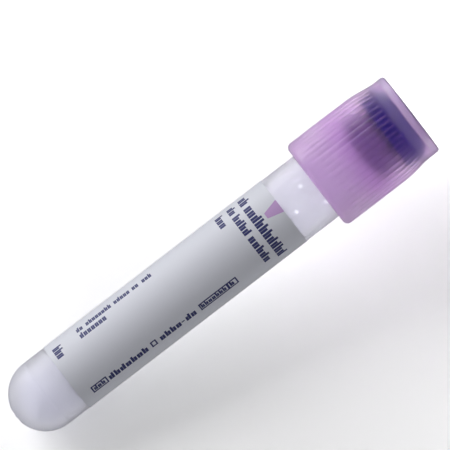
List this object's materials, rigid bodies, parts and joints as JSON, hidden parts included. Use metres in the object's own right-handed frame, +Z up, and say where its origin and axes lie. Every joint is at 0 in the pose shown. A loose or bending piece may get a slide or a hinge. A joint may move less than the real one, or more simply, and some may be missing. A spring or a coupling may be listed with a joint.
{
  "type": "blood collection tube",
  "caption": "Clear round-bottomed blood collection tube, standing on its closure, with a wrapped paper label and a rubber stopper in a fluted lavender shield that turns and pulls off.",
  "frame": {"origin": "middle of the closure's flat top, on the surface that the tube stands on", "axes": "+Z is up and runs from the closure to the rounded end, -Y faces the front of the label, and +X completes the right-handed frame"},
  "size_m": [0.0162, 0.0162, 0.0808],
  "materials": {
    "tube": "gloss",
    "label": "matte",
    "dried_additive": "matte",
    "stopper": "matte",
    "shield": "satin"
  },
  "bodies": {
    "tube_body": {"tube": "tube", "label": "label", "dried_additive": "dried_additive"},
    "stopper_body": {"stopper": "stopper"},
    "shield_body": {"shield": "shield"}
  },
  "joints": [
    {"name": "shield_turn", "type": "hinge", "parent": "shield_body", "child": "stopper_body", "pos_m": [0, 0, 0.0058], "axis": [0, 0, 1], "continuous": true},
    {"name": "closure_pull", "type": "slide", "parent": "stopper_body", "child": "tube_body", "axis": [0, 0, 1], "range_m": [0, 0.03]}
  ]
}
